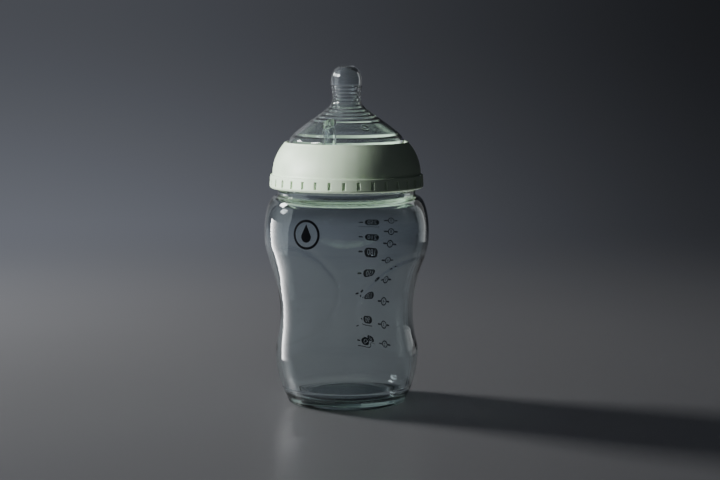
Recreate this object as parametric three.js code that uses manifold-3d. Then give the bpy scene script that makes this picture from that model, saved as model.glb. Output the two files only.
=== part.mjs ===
// Wide-neck glass feeding bottle with a domed screw ring and a silicone teat.
// Millimetres, +Z up. The origin is the middle of the base, on the plane the bottle stands on.
// The front of the bottle faces -Y, the scale side +Y, and a grip hollow is pressed into -X and +X.

import * as THREE from "three";
import { mergeVertices } from "three/addons/utils/BufferGeometryUtils.js";
import Module from "manifold-3d";

// Glass body: radii and heights of the outline before the grips are pressed in
const GLASS_SEGMENTS = 48;
const LAND_INNER = 24.4; // flat ring that the bottle stands on
const LAND_OUTER = 26.8;
const PUNT_RADIUS = 21.5; // raised middle of the underside
const PUNT_HEIGHT = 1.6;
const HEEL_HEIGHT = 2.0;
const BELLY_RADIUS = 33.75;
const BELLY_Z = 23;
const BELLY_ARC = 43;
const WAIST_RADIUS = 32.9;
const WAIST_Z = 38.5;
const CHEST_RADIUS = 34.3; // below here the body widens slowly, above it faster
const CHEST_Z = 57;
const CHEST_SLOPE = 0.12; // growth of the radius with height
const FLARE_RADIUS = 38.05;
const FLARE_Z = 73;
const FLARE_SLOPE = 0.25;
const SHOULDER_RADIUS = 38.8;
const SHOULDER_Z = 81.5;
const SHOULDER_TOP_Z = 98;
const SHOULDER_TOP_RADIUS = 33.2;

// Grip hollows: each is a waisted surface of revolution whose axis lies beyond the bottle's own
const GRIP_SHIFT = 7;
const GRIP_RADIUS = 37.7;
const GRIP_Z = 43;
const GRIP_ARC = 60;
const GRIP_CREASE = 0.3; // softness of the edge where a grip meets the body

// Glass neck
const NECK_RADIUS = 32.4;
const NECK_FILLET = 0.9;
const NECK_COLLAR_Z = 101.2;
const COLLAR_ROUND = 0.5;
const FINISH_RADIUS = 30.8; // root of the thread
const RIM_Z = 114.4;
const RIM_OUTER = 29.9;
const RIM_INNER = 28.2;
const RIM_ROUND = 0.8;

// Inside of the glass
const WALL = 2.3;
const FLOOR_Z = 4.0;
const FLOOR_RADIUS = 25.5;
const FLOOR_CORNER_Z = 9;
const INNER_SHOULDER_TOP_Z = 95.7;
const MOUTH_RADIUS = 27.6;
const MOUTH_FILLET = 3.4;
const INNER_CREASE = 1; // the grips' edges are softer inside

// Thread, right-handed, one start
const THREAD_LEAD = 5;
const THREAD_ROOT_HALF = 1.3;
const THREAD_CREST_HALF = 0.6;
const THREAD_FADE = 25; // degrees over which a ridge rises at each end
const THREAD_END_SHARE = 0.2; // share of its full height at its very ends
const THREAD_STEP = 10; // degrees between sections of a ridge
const THREAD_BURIED = 0.4; // how far a ridge's root lies inside its wall
const GLASS_THREAD_CREST = 32.5;
const GLASS_THREAD_Z = 104.6;
const GLASS_THREAD_TURN = 450;
const RING_THREAD_CREST = 31.2;
const RING_THREAD_START = 30;
const RING_THREAD_TURN = 360;
const RING_THREAD_DROP = 1.9; // the ring's ridge runs this far below the glass ridge

// Screw ring
const RING_SEGMENTS = 68;
const RING_BOTTOM_Z = 101.8;
const BAND_BOTTOM_RADIUS = 36.3;
const BAND_TOP_RADIUS = 35.9;
const BAND_EDGE = 1.2;
const BAND_TOP_Z = 108.1;
const LEDGE_ROUND = 0.3;
const DOME_CENTRE_RADIUS = 12.9;
const DOME_CENTRE_Z = 108.1;
const DOME_ARC = 22;
const RING_WALL = 1.8;
const RING_BORE = 33.0;
const RING_BORE_TOP_Z = 111;
const RING_LEAD_IN = 0.7; // chamfer at the bore's open end
const PRESS_RADIUS = 29.9; // inner edge of the step that presses the teat's flange down
const PRESS_HEIGHT = 1.4;
const PRESS_TOP_Z = 119.6;
const LIP_UNDER_Z = 121.4;
const LIP_Z = 123.3;
const LIP_RADIUS = 27.8;
const LIP_ROUND = 0.45;
const SLOT_COUNT = 34;
const SLOT_WIDTH = 1.3;
const SLOT_HEIGHT = 3.3;
const SLOT_DEPTH = 0.9;
const SLOT_Z = 104.9;

// Teat
const TEAT_SEGMENTS = 32;
const FIT_GAP = 0.1; // between the flange and the faces that hold it
const FLANGE_RADIUS = 31.0;
const FLANGE_THICKNESS = 1.9;
const FLANGE_INNER = 25.6;
const SKIRT_RADIUS = 27.3; // the part that stands in the ring's opening
const SKIRT_FILLET = 1.6;
const SKIRT_TOP_Z = 122.6;
const TIP_Z = 158.9;
const TIP_RADIUS = 3.2;
const TEAT_WALL = 1.5;
const RIB_COUNT = 11;
const RIB_TOP_Z = 149.8;
const RIB_PITCH = 1.55;
const RIB_HEIGHT = 0.35;
const VALVE_OFFSET = 16.5;
const VALVE_RADIUS = 3.2;
const VALVE_BORE = 1.9;
const VALVE_BOTTOM_Z = 116.5;
const VALVE_END = 1.2;
const VALVE_BORE_TOP_Z = 130;
const VENT_RADIUS = 0.6;

const wasm = await Module();
wasm.setup();

// A closed geometry as a solid: shared corners are merged and faces without area are dropped.
function toSolid(geometry) {
  const bare = new THREE.BufferGeometry();
  const source = geometry.index ? geometry.toNonIndexed() : geometry;
  bare.setAttribute("position", source.getAttribute("position").clone());
  const merged = mergeVertices(bare, 1e-4);
  const corners = [];
  for (let i = 0; i < merged.index.count; i += 3) {
    const [a, b, c] = merged.index.array.slice(i, i + 3);
    if (a !== b && b !== c && c !== a) corners.push(a, b, c);
  }
  const vertProperties = new Float32Array(merged.attributes.position.array);
  const triVerts = new Uint32Array(corners);
  return new wasm.Manifold(new wasm.Mesh({ numProp: 3, vertProperties, triVerts }));
}

function toGeometry(solid) {
  const mesh = solid.getMesh();
  const geometry = new THREE.BufferGeometry();
  geometry.setAttribute("position", new THREE.BufferAttribute(mesh.vertProperties, 3));
  geometry.setIndex(new THREE.BufferAttribute(mesh.triVerts, 1));
  geometry.computeVertexNormals();
  return geometry;
}

// A profile of [radius, z] pairs turned about the Z axis.
function turned(profile, segments) {
  const points = profile.map(([radius, z]) => new THREE.Vector2(radius, z));
  return new THREE.LatheGeometry(points, segments).rotateX(Math.PI / 2);
}

// Points of an elliptical arc from angle a to angle b, in degrees from the radius axis.
function arc(centreRadius, centreZ, reachRadius, reachZ, a, b, steps) {
  const points = [];
  for (let i = 0; i <= steps; i++) {
    const t = THREE.MathUtils.degToRad(a + ((b - a) * i) / steps);
    points.push([centreRadius + reachRadius * Math.cos(t), centreZ + reachZ * Math.sin(t)]);
  }
  return points;
}

function softMin(a, b, softness) {
  const overlap = Math.max(softness - Math.abs(a - b), 0) / softness;
  return Math.min(a, b) - (overlap * overlap * softness) / 4;
}

// Outer radius of the body between the heel and the shoulder, before the grips: an arc up to the
// belly, then cubic curves between places with a known height, radius and slope.
function bodyRadius(z) {
  if (z <= BELLY_Z) return BELLY_RADIUS - BELLY_ARC + Math.sqrt(BELLY_ARC ** 2 - (z - BELLY_Z) ** 2);
  const places = [
    [BELLY_Z, BELLY_RADIUS, 0],
    [WAIST_Z, WAIST_RADIUS, 0],
    [CHEST_Z, CHEST_RADIUS, CHEST_SLOPE],
    [FLARE_Z, FLARE_RADIUS, FLARE_SLOPE],
    [SHOULDER_Z, SHOULDER_RADIUS, 0],
  ];
  const next = Math.max(places.findIndex((place) => z <= place[0]), 1);
  const [z0, r0, slope0] = places[next - 1];
  const [z1, r1, slope1] = places[next];
  const height = z1 - z0;
  const t = (z - z0) / height;
  const eased = t * t * (3 - 2 * t);
  const bend = slope0 * (t - 1) + slope1 * t;
  return r0 + (r1 - r0) * eased + height * t * (t - 1) * bend;
}

// Distance from the bottle's axis to a grip's surface, in the direction of angle.
function gripRadius(angle, z) {
  const fromWaist = Math.min(Math.abs(z - GRIP_Z), GRIP_ARC);
  const radius = GRIP_RADIUS + GRIP_ARC - Math.sqrt(GRIP_ARC ** 2 - fromWaist ** 2);
  const across = GRIP_SHIFT * Math.sin(angle);
  return Math.sqrt(radius ** 2 - across ** 2) - GRIP_SHIFT * Math.abs(Math.cos(angle));
}

// Moves every point that lies outside a grip's surface in to it.
function pressGrips(geometry, wall, softness) {
  const place = geometry.getAttribute("position");
  for (let i = 0; i < place.count; i++) {
    const [x, y, z] = [place.getX(i), place.getY(i), place.getZ(i)];
    const radius = Math.hypot(x, y);
    if (radius < 1) continue; // on the axis
    const pressed = softMin(radius, gripRadius(Math.atan2(y, x), z) - wall, softness);
    place.setXY(i, (x * pressed) / radius, (y * pressed) / radius);
  }
  return geometry;
}

// Heights from one level to another in equal steps, both ends included.
function levels(from, to, steps) {
  return Array.from({ length: steps + 1 }, (_, i) => from + ((to - from) * i) / steps);
}

// A helical ridge: crest is its working radius and root the radius it is buried at.
function threadRidge(root, crest, startAngle, turn, z0) {
  const steps = Math.round(turn / THREAD_STEP);
  const positions = [];
  const faces = [];
  for (let i = 0; i <= steps; i++) {
    const along = (turn * i) / steps;
    const fade = Math.min(along, turn - along, THREAD_FADE) / THREAD_FADE;
    const tip = root + (crest - root) * (THREAD_END_SHARE + (1 - THREAD_END_SHARE) * fade);
    const angle = THREE.MathUtils.degToRad(startAngle + along);
    const z = z0 + (THREAD_LEAD * (startAngle + along)) / 360;
    const section = [
      [root, z - THREAD_ROOT_HALF],
      [tip, z - THREAD_CREST_HALF],
      [tip, z + THREAD_CREST_HALF],
      [root, z + THREAD_ROOT_HALF],
    ];
    for (const [r, h] of section) positions.push(r * Math.cos(angle), r * Math.sin(angle), h);
  }
  const side = (a, b, c, d) => faces.push(a, b, c, a, c, d);
  for (let i = 0; i < steps; i++) {
    for (let k = 0; k < 4; k++) {
      const next = (k + 1) % 4;
      side(4 * i + k, 4 * i + next, 4 * i + 4 + next, 4 * i + 4 + k);
    }
  }
  side(3, 2, 1, 0);
  side(4 * steps, 4 * steps + 1, 4 * steps + 2, 4 * steps + 3);
  if (crest > root) {
    for (let i = 0; i < faces.length; i += 3) [faces[i], faces[i + 1]] = [faces[i + 1], faces[i]];
  }
  const geometry = new THREE.BufferGeometry();
  geometry.setAttribute("position", new THREE.Float32BufferAttribute(positions, 3));
  geometry.setIndex(faces);
  return toSolid(geometry);
}

function glassOutside() {
  const heelTop = bodyRadius(HEEL_HEIGHT);
  const heel = arc(LAND_OUTER, HEEL_HEIGHT, heelTop - LAND_OUTER, HEEL_HEIGHT, -90, 0, 3);
  const body = levels(HEEL_HEIGHT, SHOULDER_Z, 15).slice(1, -1);
  const shoulder = arc(
    SHOULDER_TOP_RADIUS,
    SHOULDER_Z,
    SHOULDER_RADIUS - SHOULDER_TOP_RADIUS,
    SHOULDER_TOP_Z - SHOULDER_Z,
    0,
    90,
    6,
  );
  return turned(
    [
      [0, PUNT_HEIGHT],
      [PUNT_RADIUS, PUNT_HEIGHT],
      [LAND_INNER, 0],
      ...heel,
      ...body.map((z) => [bodyRadius(z), z]),
      ...shoulder,
      [NECK_RADIUS, SHOULDER_TOP_Z + NECK_FILLET],
      [NECK_RADIUS, NECK_COLLAR_Z - COLLAR_ROUND],
      [NECK_RADIUS - COLLAR_ROUND, NECK_COLLAR_Z],
      [FINISH_RADIUS, NECK_COLLAR_Z + COLLAR_ROUND],
      [FINISH_RADIUS, RIM_Z - RIM_ROUND],
      [RIM_OUTER, RIM_Z],
      [0, RIM_Z],
    ],
    GLASS_SEGMENTS,
  );
}

function glassInside() {
  const cornerTop = bodyRadius(FLOOR_CORNER_Z) - WALL;
  const corner = arc(
    FLOOR_RADIUS,
    FLOOR_CORNER_Z,
    cornerTop - FLOOR_RADIUS,
    FLOOR_CORNER_Z - FLOOR_Z,
    -90,
    0,
    4,
  );
  const body = levels(FLOOR_CORNER_Z, SHOULDER_Z, 10).slice(1, -1);
  const topRadius = MOUTH_RADIUS + MOUTH_FILLET;
  const widest = SHOULDER_RADIUS - WALL;
  const shoulder = arc(
    topRadius,
    SHOULDER_Z,
    widest - topRadius,
    INNER_SHOULDER_TOP_Z - SHOULDER_Z,
    0,
    90,
    5,
  );
  return turned(
    [
      [0, FLOOR_Z],
      ...corner,
      ...body.map((z) => [bodyRadius(z) - WALL, z]),
      ...shoulder,
      [MOUTH_RADIUS, INNER_SHOULDER_TOP_Z + MOUTH_FILLET],
      [MOUTH_RADIUS, RIM_Z - RIM_ROUND],
      [RIM_INNER, RIM_Z],
      [RIM_INNER, RIM_Z + 1],
      [0, RIM_Z + 1],
    ],
    GLASS_SEGMENTS,
  );
}

function glassBottle() {
  const outside = toSolid(pressGrips(glassOutside(), 0, GRIP_CREASE));
  const inside = toSolid(pressGrips(glassInside(), WALL, INNER_CREASE));
  const buried = FINISH_RADIUS - THREAD_BURIED;
  const thread = threadRidge(buried, GLASS_THREAD_CREST, 0, GLASS_THREAD_TURN, GLASS_THREAD_Z);
  return toGeometry(outside.subtract(inside).add(thread));
}

// The dome's section is an arc; inset is how far inside the outer surface the point lies.
function domeRadius(z, inset) {
  return DOME_CENTRE_RADIUS + Math.sqrt((DOME_ARC - inset) ** 2 - (z - DOME_CENTRE_Z) ** 2);
}

function ringShell() {
  const flangeTop = RIM_Z + FLANGE_THICKNESS + 2 * FIT_GAP;
  const bandEdge = arc(
    BAND_BOTTOM_RADIUS - BAND_EDGE,
    RING_BOTTOM_Z + BAND_EDGE,
    BAND_EDGE,
    BAND_EDGE,
    -90,
    0,
    3,
  );
  const outside = levels(BAND_TOP_Z, LIP_Z - LIP_ROUND, 7).map((z) => [domeRadius(z, 0), z]);
  const under = levels(RING_BORE_TOP_Z, flangeTop, 3).map((z) => [domeRadius(z, RING_WALL), z]);
  const above = levels(PRESS_TOP_Z, LIP_UNDER_Z, 2).map((z) => [domeRadius(z, RING_WALL), z]);
  const profile = [
    [RING_BORE + RING_LEAD_IN, RING_BOTTOM_Z],
    ...bandEdge,
    [BAND_TOP_RADIUS, BAND_TOP_Z - LEDGE_ROUND],
    [BAND_TOP_RADIUS - LEDGE_ROUND, BAND_TOP_Z],
    ...outside,
    [LIP_RADIUS + LIP_ROUND, LIP_Z],
    [LIP_RADIUS, LIP_Z - LIP_ROUND],
    [LIP_RADIUS, LIP_UNDER_Z + LIP_ROUND],
    ...above.reverse(),
    [PRESS_RADIUS, flangeTop + PRESS_HEIGHT],
    [PRESS_RADIUS, flangeTop],
    ...under.reverse(),
    [RING_BORE, RING_BOTTOM_Z + RING_LEAD_IN],
  ];
  profile.push(profile[0]);
  return toSolid(turned(profile, RING_SEGMENTS));
}

// The grip slots round the band, as one cutter each.
function slotCutter(index) {
  const cutter = new THREE.BoxGeometry(2 * SLOT_DEPTH, SLOT_WIDTH, SLOT_HEIGHT);
  cutter.translate((BAND_BOTTOM_RADIUS + BAND_TOP_RADIUS) / 2, 0, SLOT_Z);
  cutter.rotateZ((2 * Math.PI * index) / SLOT_COUNT);
  return toSolid(cutter);
}

function screwRing() {
  const thread = threadRidge(
    RING_BORE + THREAD_BURIED,
    RING_THREAD_CREST,
    RING_THREAD_START,
    RING_THREAD_TURN,
    GLASS_THREAD_Z - RING_THREAD_DROP,
  );
  let ring = ringShell().add(thread);
  for (let i = 0; i < SLOT_COUNT; i++) ring = ring.subtract(slotCutter(i));
  return toGeometry(ring);
}

// Outline of the teat from the ring's opening up to the tip.
function teatCurve() {
  const stations = [
    [SKIRT_RADIUS, SKIRT_TOP_Z],
    [26.6, 124.9],
    [23.6, 128.3],
    [16.6, 133.6],
    [10.8, 137.6],
    [7.4, 141],
    [6.7, 144.4],
    [6.9, 147.6],
    [7.4, 151],
    [7.1, 154.3],
    [5.6, 157.2],
    [TIP_RADIUS, TIP_Z],
  ];
  return new THREE.SplineCurve(stations.map(([radius, z]) => new THREE.Vector2(radius, z)));
}

// The point of the curve at height z, moved in by the wall.
function teatWallPoint(curve, z, wall) {
  let [low, high] = [0, 1];
  while (high - low > 1e-4) {
    const middle = (low + high) / 2;
    if (curve.getPoint(middle).y < z) low = middle;
    else high = middle;
  }
  const place = curve.getPoint(low);
  const along = curve.getTangent(low);
  return [place.x - along.y * wall, place.y + along.x * wall];
}

// The inside of the teat from the skirt up to the nipple, with ribs across the waist.
function teatInside(curve) {
  const ribBottom = RIB_TOP_Z - RIB_COUNT * RIB_PITCH;
  const below = levels(SKIRT_TOP_Z, ribBottom, 4).slice(1, -1);
  const ribs = levels(ribBottom, RIB_TOP_Z, 2 * RIB_COUNT);
  const above = levels(RIB_TOP_Z, TIP_Z, 6).slice(1, -1);
  return [
    ...below.map((z) => teatWallPoint(curve, z, TEAT_WALL)),
    ...ribs.map((z, i) => teatWallPoint(curve, z, TEAT_WALL + (i % 2 ? RIB_HEIGHT : 0))),
    ...above.map((z) => teatWallPoint(curve, z, TEAT_WALL)),
  ];
}

// The teat as a hollow shell, or with its inside filled.
function teatBody(hollow) {
  const curve = teatCurve();
  const flangeBottom = RIM_Z + FIT_GAP;
  const flangeTop = flangeBottom + FLANGE_THICKNESS;
  const outside = curve.getPoints(22).map((p) => [p.x, p.y]);
  const inside = [
    [0, TIP_Z - TEAT_WALL],
    ...teatInside(curve).reverse(),
    [FLANGE_INNER, flangeTop],
    [FLANGE_INNER, flangeBottom],
  ];
  return turned(
    [
      ...(hollow ? inside : [[0, flangeBottom]]),
      [FLANGE_RADIUS, flangeBottom],
      [FLANGE_RADIUS, flangeTop],
      [SKIRT_RADIUS + SKIRT_FILLET, flangeTop],
      [SKIRT_RADIUS, flangeTop + SKIRT_FILLET],
      ...outside,
      [0, TIP_Z],
    ],
    TEAT_SEGMENTS,
  );
}

// An upright cylinder on the valve's own axis.
function valveCylinder(radius, bottom, top) {
  const height = top - bottom;
  const cylinder = new THREE.CylinderGeometry(radius, radius, height, 16);
  cylinder.rotateX(Math.PI / 2);
  cylinder.translate(0, -VALVE_OFFSET, bottom + height / 2);
  return toSolid(cylinder);
}

// Anti-colic valve: a closed tube that hangs from the shoulder, with a vent to the air above it.
function teat() {
  const filled = toSolid(teatBody(false));
  const tube = valveCylinder(VALVE_RADIUS, VALVE_BOTTOM_Z, TIP_Z).intersect(filled);
  const bore = valveCylinder(VALVE_BORE, VALVE_BOTTOM_Z + VALVE_END, VALVE_BORE_TOP_Z);
  const vent = valveCylinder(VENT_RADIUS, VALVE_BORE_TOP_Z - 1, TIP_Z);
  return toGeometry(toSolid(teatBody(true)).add(tube).subtract(bore).subtract(vent));
}

function part(name, geometry, material) {
  const mesh = new THREE.Mesh(geometry, new THREE.MeshStandardMaterial(material));
  mesh.name = name;
  return mesh;
}

const bottle = new THREE.Group();
bottle.add(
  part("glass_bottle", glassBottle(), {
    color: 0xdfe8e6,
    roughness: 0.03,
    metalness: 0,
    transparent: true,
    opacity: 0.3,
  }),
  part("screw_ring", screwRing(), { color: 0xc7d8c0, roughness: 0.45, metalness: 0 }),
  part("teat", teat(), {
    color: 0xe9eef0,
    roughness: 0.2,
    metalness: 0,
    transparent: true,
    opacity: 0.45,
  }),
);

export default bottle;
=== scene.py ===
# Looks of a wide-neck glass feeding bottle with a domed screw ring and a silicone teat.
# Dimensions below are drawn in millimetres, +Z up, and MM turns them into the frame's metres.
import math

import bmesh
import bpy
import numpy as np
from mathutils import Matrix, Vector


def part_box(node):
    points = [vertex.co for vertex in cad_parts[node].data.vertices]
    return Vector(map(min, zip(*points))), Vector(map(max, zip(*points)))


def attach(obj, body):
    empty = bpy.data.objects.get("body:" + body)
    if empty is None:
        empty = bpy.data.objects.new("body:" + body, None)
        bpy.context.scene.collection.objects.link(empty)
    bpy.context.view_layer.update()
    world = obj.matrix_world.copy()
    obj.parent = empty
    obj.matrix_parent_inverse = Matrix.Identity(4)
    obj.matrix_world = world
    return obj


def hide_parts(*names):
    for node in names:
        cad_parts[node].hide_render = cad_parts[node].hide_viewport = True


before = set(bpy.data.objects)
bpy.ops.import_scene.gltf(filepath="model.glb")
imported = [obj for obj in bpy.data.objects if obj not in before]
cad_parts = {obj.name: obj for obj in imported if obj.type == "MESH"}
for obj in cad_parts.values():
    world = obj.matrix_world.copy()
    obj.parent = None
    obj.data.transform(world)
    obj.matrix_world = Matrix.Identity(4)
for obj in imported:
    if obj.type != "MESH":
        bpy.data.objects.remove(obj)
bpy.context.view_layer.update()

glass_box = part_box("glass_bottle")
ring_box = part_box("screw_ring")
teat_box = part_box("teat")

# One drawing millimetre in metres, from the height of the frame's teat tip
TIP_Z = 158.9
MM = teat_box[1].z / TIP_Z

# Heights and radii that come straight from the frame, in drawing millimetres
RIM_Z = glass_box[1].z / MM
RING_BOTTOM_Z = ring_box[0].z / MM
LIP_Z = ring_box[1].z / MM
BAND_BOTTOM_RADIUS = ring_box[1].y / MM
FLANGE_BOTTOM_Z = teat_box[0].z / MM
FLANGE_RADIUS = teat_box[1].x / MM

# Glass body: outline before the grips are pressed in
GLASS_STEPS = 320
BODY_ROW = 1.0  # height of a row of faces on the body
FINISH_ROW = 0.4  # the same on the threaded neck
INNER_ROWS = 40
LAND_EDGE = 0.6  # width over which the stippled land fades in
LAND_INNER = 24.4
LAND_OUTER = 26.8
PUNT_RADIUS = 21.5
PUNT_HEIGHT = 1.6
HEEL_HEIGHT = 2.0
BELLY_RADIUS = 33.75
BELLY_Z = 23
BELLY_ARC = 43
WAIST_RADIUS = 32.9
WAIST_Z = 38.5
CHEST_RADIUS = 34.3
CHEST_Z = 57
CHEST_SLOPE = 0.12
FLARE_RADIUS = 38.05
FLARE_Z = 73
FLARE_SLOPE = 0.25
SHOULDER_RADIUS = 38.8
SHOULDER_Z = 81.5
SHOULDER_TOP_Z = 98
SHOULDER_TOP_RADIUS = 33.2
NECK_RADIUS = 32.4
NECK_FILLET = 0.9
NECK_COLLAR_Z = 101.2
FINISH_RADIUS = 30.8
RIM_OUTER = 29.9
RIM_INNER = 28.2
RIM_ROUND = 0.8
COLLAR_EDGE = 0.3  # plain stretch at each end of the threaded neck
STIPPLE_COUNT = 64
STIPPLE_DEPTH = 0.4
STIPPLE_OUTWARD = 0.8
SEAM_HEIGHT = 0.05
SEAM_WIDTH = 0.35
GLASS_WAVE = 0.035
WAVE_FADE_LOW = 20  # heights over which the waves fade out above the floor and below the shoulder
WAVE_FADE_HIGH = 10

# Grip hollows, pressed in at -X and +X
GRIP_SHIFT = 7
GRIP_RADIUS = 37.7
GRIP_Z = 43
GRIP_ARC = 60
GRIP_CREASE = 0.3  # softness of the edge where a grip meets the body
GROOVE_DEPTH = 0.14  # shallow groove along that edge
GROOVE_RISE = 0.2
GROOVE_FADE = 1.2

# Inside of the glass
WALL = 2.3
FLOOR_Z = 4.0
FLOOR_DISC_RADIUS = 17.6
FLOOR_DISC_HEIGHT = 0.8
FLOOR_RADIUS = 25.5
FLOOR_CORNER_Z = 9
INNER_SHOULDER_TOP_Z = 95.7
MOUTH_RADIUS = 27.6
MOUTH_FILLET = 3.4
INNER_CREASE = 0.6

# Threads
THREAD_LEAD = 5
THREAD_ROOT_HALF = 1.3
THREAD_CREST_HALF = 0.6
THREAD_FADE = 25
GLASS_THREAD_CREST = 32.5
GLASS_THREAD_Z = 104.6
GLASS_THREAD_TURN = 450
RING_THREAD_CREST = 31.2
RING_THREAD_START = 30
RING_THREAD_TURN = 360
RING_THREAD_DROP = 1.9

# Screw ring
BAND_TOP_RADIUS = 35.9
BAND_EDGE = 1.2
BAND_TOP_Z = 108.1
DOME_CENTRE_RADIUS = 12.9
DOME_ARC = 22
RING_WALL = 1.8
RING_BORE = 33.0
RING_BORE_TOP_Z = 111
RING_LEAD_IN = 0.7
PRESS_RADIUS = 29.9
PRESS_HEIGHT = 1.4
PRESS_TOP_Z = 119.6
LIP_UNDER_Z = 121.4
LIP_RADIUS = 27.8
LIP_ROUND = 0.45
SLOT_COUNT = 34
SLOT_WIDTH = 1.3
SLOT_HEIGHT = 3.3
SLOT_DEPTH = 0.8
SLOT_Z = 104.9
SLOT_EDGE = 0.16
EDGE_STEPS = (-1.5, -1, -0.5, 0, 0.5, 1, 1.5)  # places of faces across a slot's edge, in SLOT_EDGE
FIT_GAP = 0.1  # between the teat's flange and the ring

# Teat
TEAT_STEPS = 144
FLANGE_THICKNESS = 1.9
FLANGE_INNER = 25.6
SKIRT_RADIUS = 27.3
SKIRT_FILLET = 1.6
SKIRT_TOP_Z = 122.6
TEAT_WALL = 1.5
RIB_COUNT = 11
RIB_TOP_Z = 149.8
RIB_PITCH = 1.55
RIB_HEIGHT = 0.35
VALVE_OFFSET = 16.5
VALVE_RADIUS = 3.2
VALVE_BORE = 1.9
VALVE_BOTTOM_Z = 116.5
VALVE_END = 1.2
VALVE_BORE_TOP_Z = 130
VENT_RADIUS = 0.6
TIP_FLAT = 3.2
TIP_DIMPLE = 0.35
TIP_DIMPLE_DEPTH = 0.5
CURVE_GAP = 0.3  # distance between rows of faces on the teat
EYELET_Z = 127.4
EYELET_RADIUS = 1.5
EYELET_BEAD = 0.45
FLOW_MARK_ANGLE = -38
FLOW_MARK_Z = 130.5
FLOW_MARK_RADIUS = 1.8
FLOW_MARK_BEAD = 0.5
FLOW_DOT_RADIUS = 0.8
STEP_Z = 127
STEP_HEIGHT = 0.35
STEP_WIDTH = 0.7

# Printing
INK_SUNK = 0.01
INK_PROUD = 0.025
ML_HEIGHTS = {60: 23.7, 90: 34.2, 120: 46.4, 150: 56.9, 180: 66.7, 210: 74.2, 250: 83.6}
ML_MIDDLES = {2: 6.1, 3: 5.75}  # sideways place of a capsule, by its number of digits
ML_ENDS = 3.6  # width of a capsule apart from its digits
ML_DIGIT_WIDTH = 1.4
ML_HEIGHT = 3.8
ML_DIGITS = 2.5
ML_DASH = (2.4, 0.75)
ML_DASH_OFFSET = 2.2  # from a capsule's end to the middle of its dash
OUNCE = 28.41  # imperial fluid ounce in millilitres
OUNCES = range(2, 10)
OUNCE_OFFSET = -5.3
OUNCE_RING = 4.0
OUNCE_RING_INNER = 2.9
OUNCE_DIGITS = 1.75
OUNCE_DASH = (2.3, 0.8)
OUNCE_DASH_OFFSET = 3.2
DOT_COUNT = 11
DOT_START = 2.2
DOT_PITCH = 1.05
DOT_SIZE = 0.6
DOT_DROP = 2.9  # the row of dots below the top mark
LINE_SIZE = (9.5, 0.4)
LINE_MIDDLE = 7.6
LINE_DROP = 3.0  # the lines below the lowest marks
MARK_Z = 83
MARK_SIZE = 13.6
MARK_LINE = 1.1
DROP_RADIUS = 2.5
DROP_POINT = 5.9  # height of the drop's point above the middle of its round end
DROP_SHIFT = 1.1


# ---------------------------------------------------------------- outlines

def arc(centre_r, centre_z, reach_r, reach_z, a, b, steps):
    """Points of an elliptical arc from angle a to angle b, in degrees from the radius axis."""
    turns = np.radians(np.linspace(a, b, steps + 1))
    return [(centre_r + reach_r * math.cos(t), centre_z + reach_z * math.sin(t)) for t in turns]


def rounded(corners, steps=5):
    """A polyline whose corners (radius, z, fillet) are rounded by arcs that touch both sides."""
    points = []
    for i, (r, z, fillet) in enumerate(corners):
        here = np.array((r, z), float)
        if fillet == 0:
            points.append(tuple(here))
            continue
        back = np.array(corners[i - 1][:2], float) - here
        ahead = np.array(corners[(i + 1) % len(corners)][:2], float) - here
        back /= np.linalg.norm(back)
        ahead /= np.linalg.norm(ahead)
        half = math.acos(np.clip(back @ ahead, -1, 1)) / 2
        centre = here + (back + ahead) / np.linalg.norm(back + ahead) * fillet / math.sin(half)
        first = here + back * fillet / math.tan(half) - centre
        last = here + ahead * fillet / math.tan(half) - centre
        sweep = math.pi - 2 * half
        for k in range(steps + 1):
            t = sweep * k / steps
            spoke = (first * math.sin(sweep - t) + last * math.sin(t)) / math.sin(sweep)
            points.append(tuple(centre + spoke))
    return points


def spaced(points, gap):
    """The same polyline with extra points, so that none lie further apart than gap."""
    out = [points[0]]
    for a, b in zip(points, points[1:]):
        a, b = np.array(a), np.array(b)
        steps = max(1, math.ceil(np.linalg.norm(b - a) / gap))
        out += [tuple(a + (b - a) * k / steps) for k in range(1, steps + 1)]
    return out


def smooth_step(t):
    t = np.clip(t, 0, 1)
    return t * t * (3 - 2 * t)


def soft_min(a, b, softness):
    overlap = np.maximum(softness - np.abs(a - b), 0) / softness
    return np.minimum(a, b) - overlap * overlap * softness / 4


def body_radius(z):
    """Outer radius of the glass body between heel and shoulder, before the grips: an arc up to the
    belly, then cubic curves between places with a known height, radius and slope."""
    if z <= BELLY_Z:
        return BELLY_RADIUS - BELLY_ARC + math.sqrt(BELLY_ARC**2 - (z - BELLY_Z) ** 2)
    places = (
        (BELLY_Z, BELLY_RADIUS, 0),
        (WAIST_Z, WAIST_RADIUS, 0),
        (CHEST_Z, CHEST_RADIUS, CHEST_SLOPE),
        (FLARE_Z, FLARE_RADIUS, FLARE_SLOPE),
        (SHOULDER_Z, SHOULDER_RADIUS, 0),
    )
    z = min(z, SHOULDER_Z)
    for (z0, r0, slope0), (z1, r1, slope1) in zip(places, places[1:]):
        if z <= z1:
            break
    height = z1 - z0
    t = (z - z0) / height
    bend = slope0 * (t - 1) + slope1 * t
    return r0 + (r1 - r0) * t * t * (3 - 2 * t) + height * t * (t - 1) * bend


def grip_radius(angle, z):
    """Distance from the bottle's axis to a grip's surface, in the direction of angle."""
    from_waist = np.minimum(np.abs(z - GRIP_Z), GRIP_ARC)
    radius = GRIP_RADIUS + GRIP_ARC - np.sqrt(GRIP_ARC**2 - from_waist**2)
    across = GRIP_SHIFT * np.sin(angle)
    return np.sqrt(radius**2 - across**2) - GRIP_SHIFT * np.abs(np.cos(angle))


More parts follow.
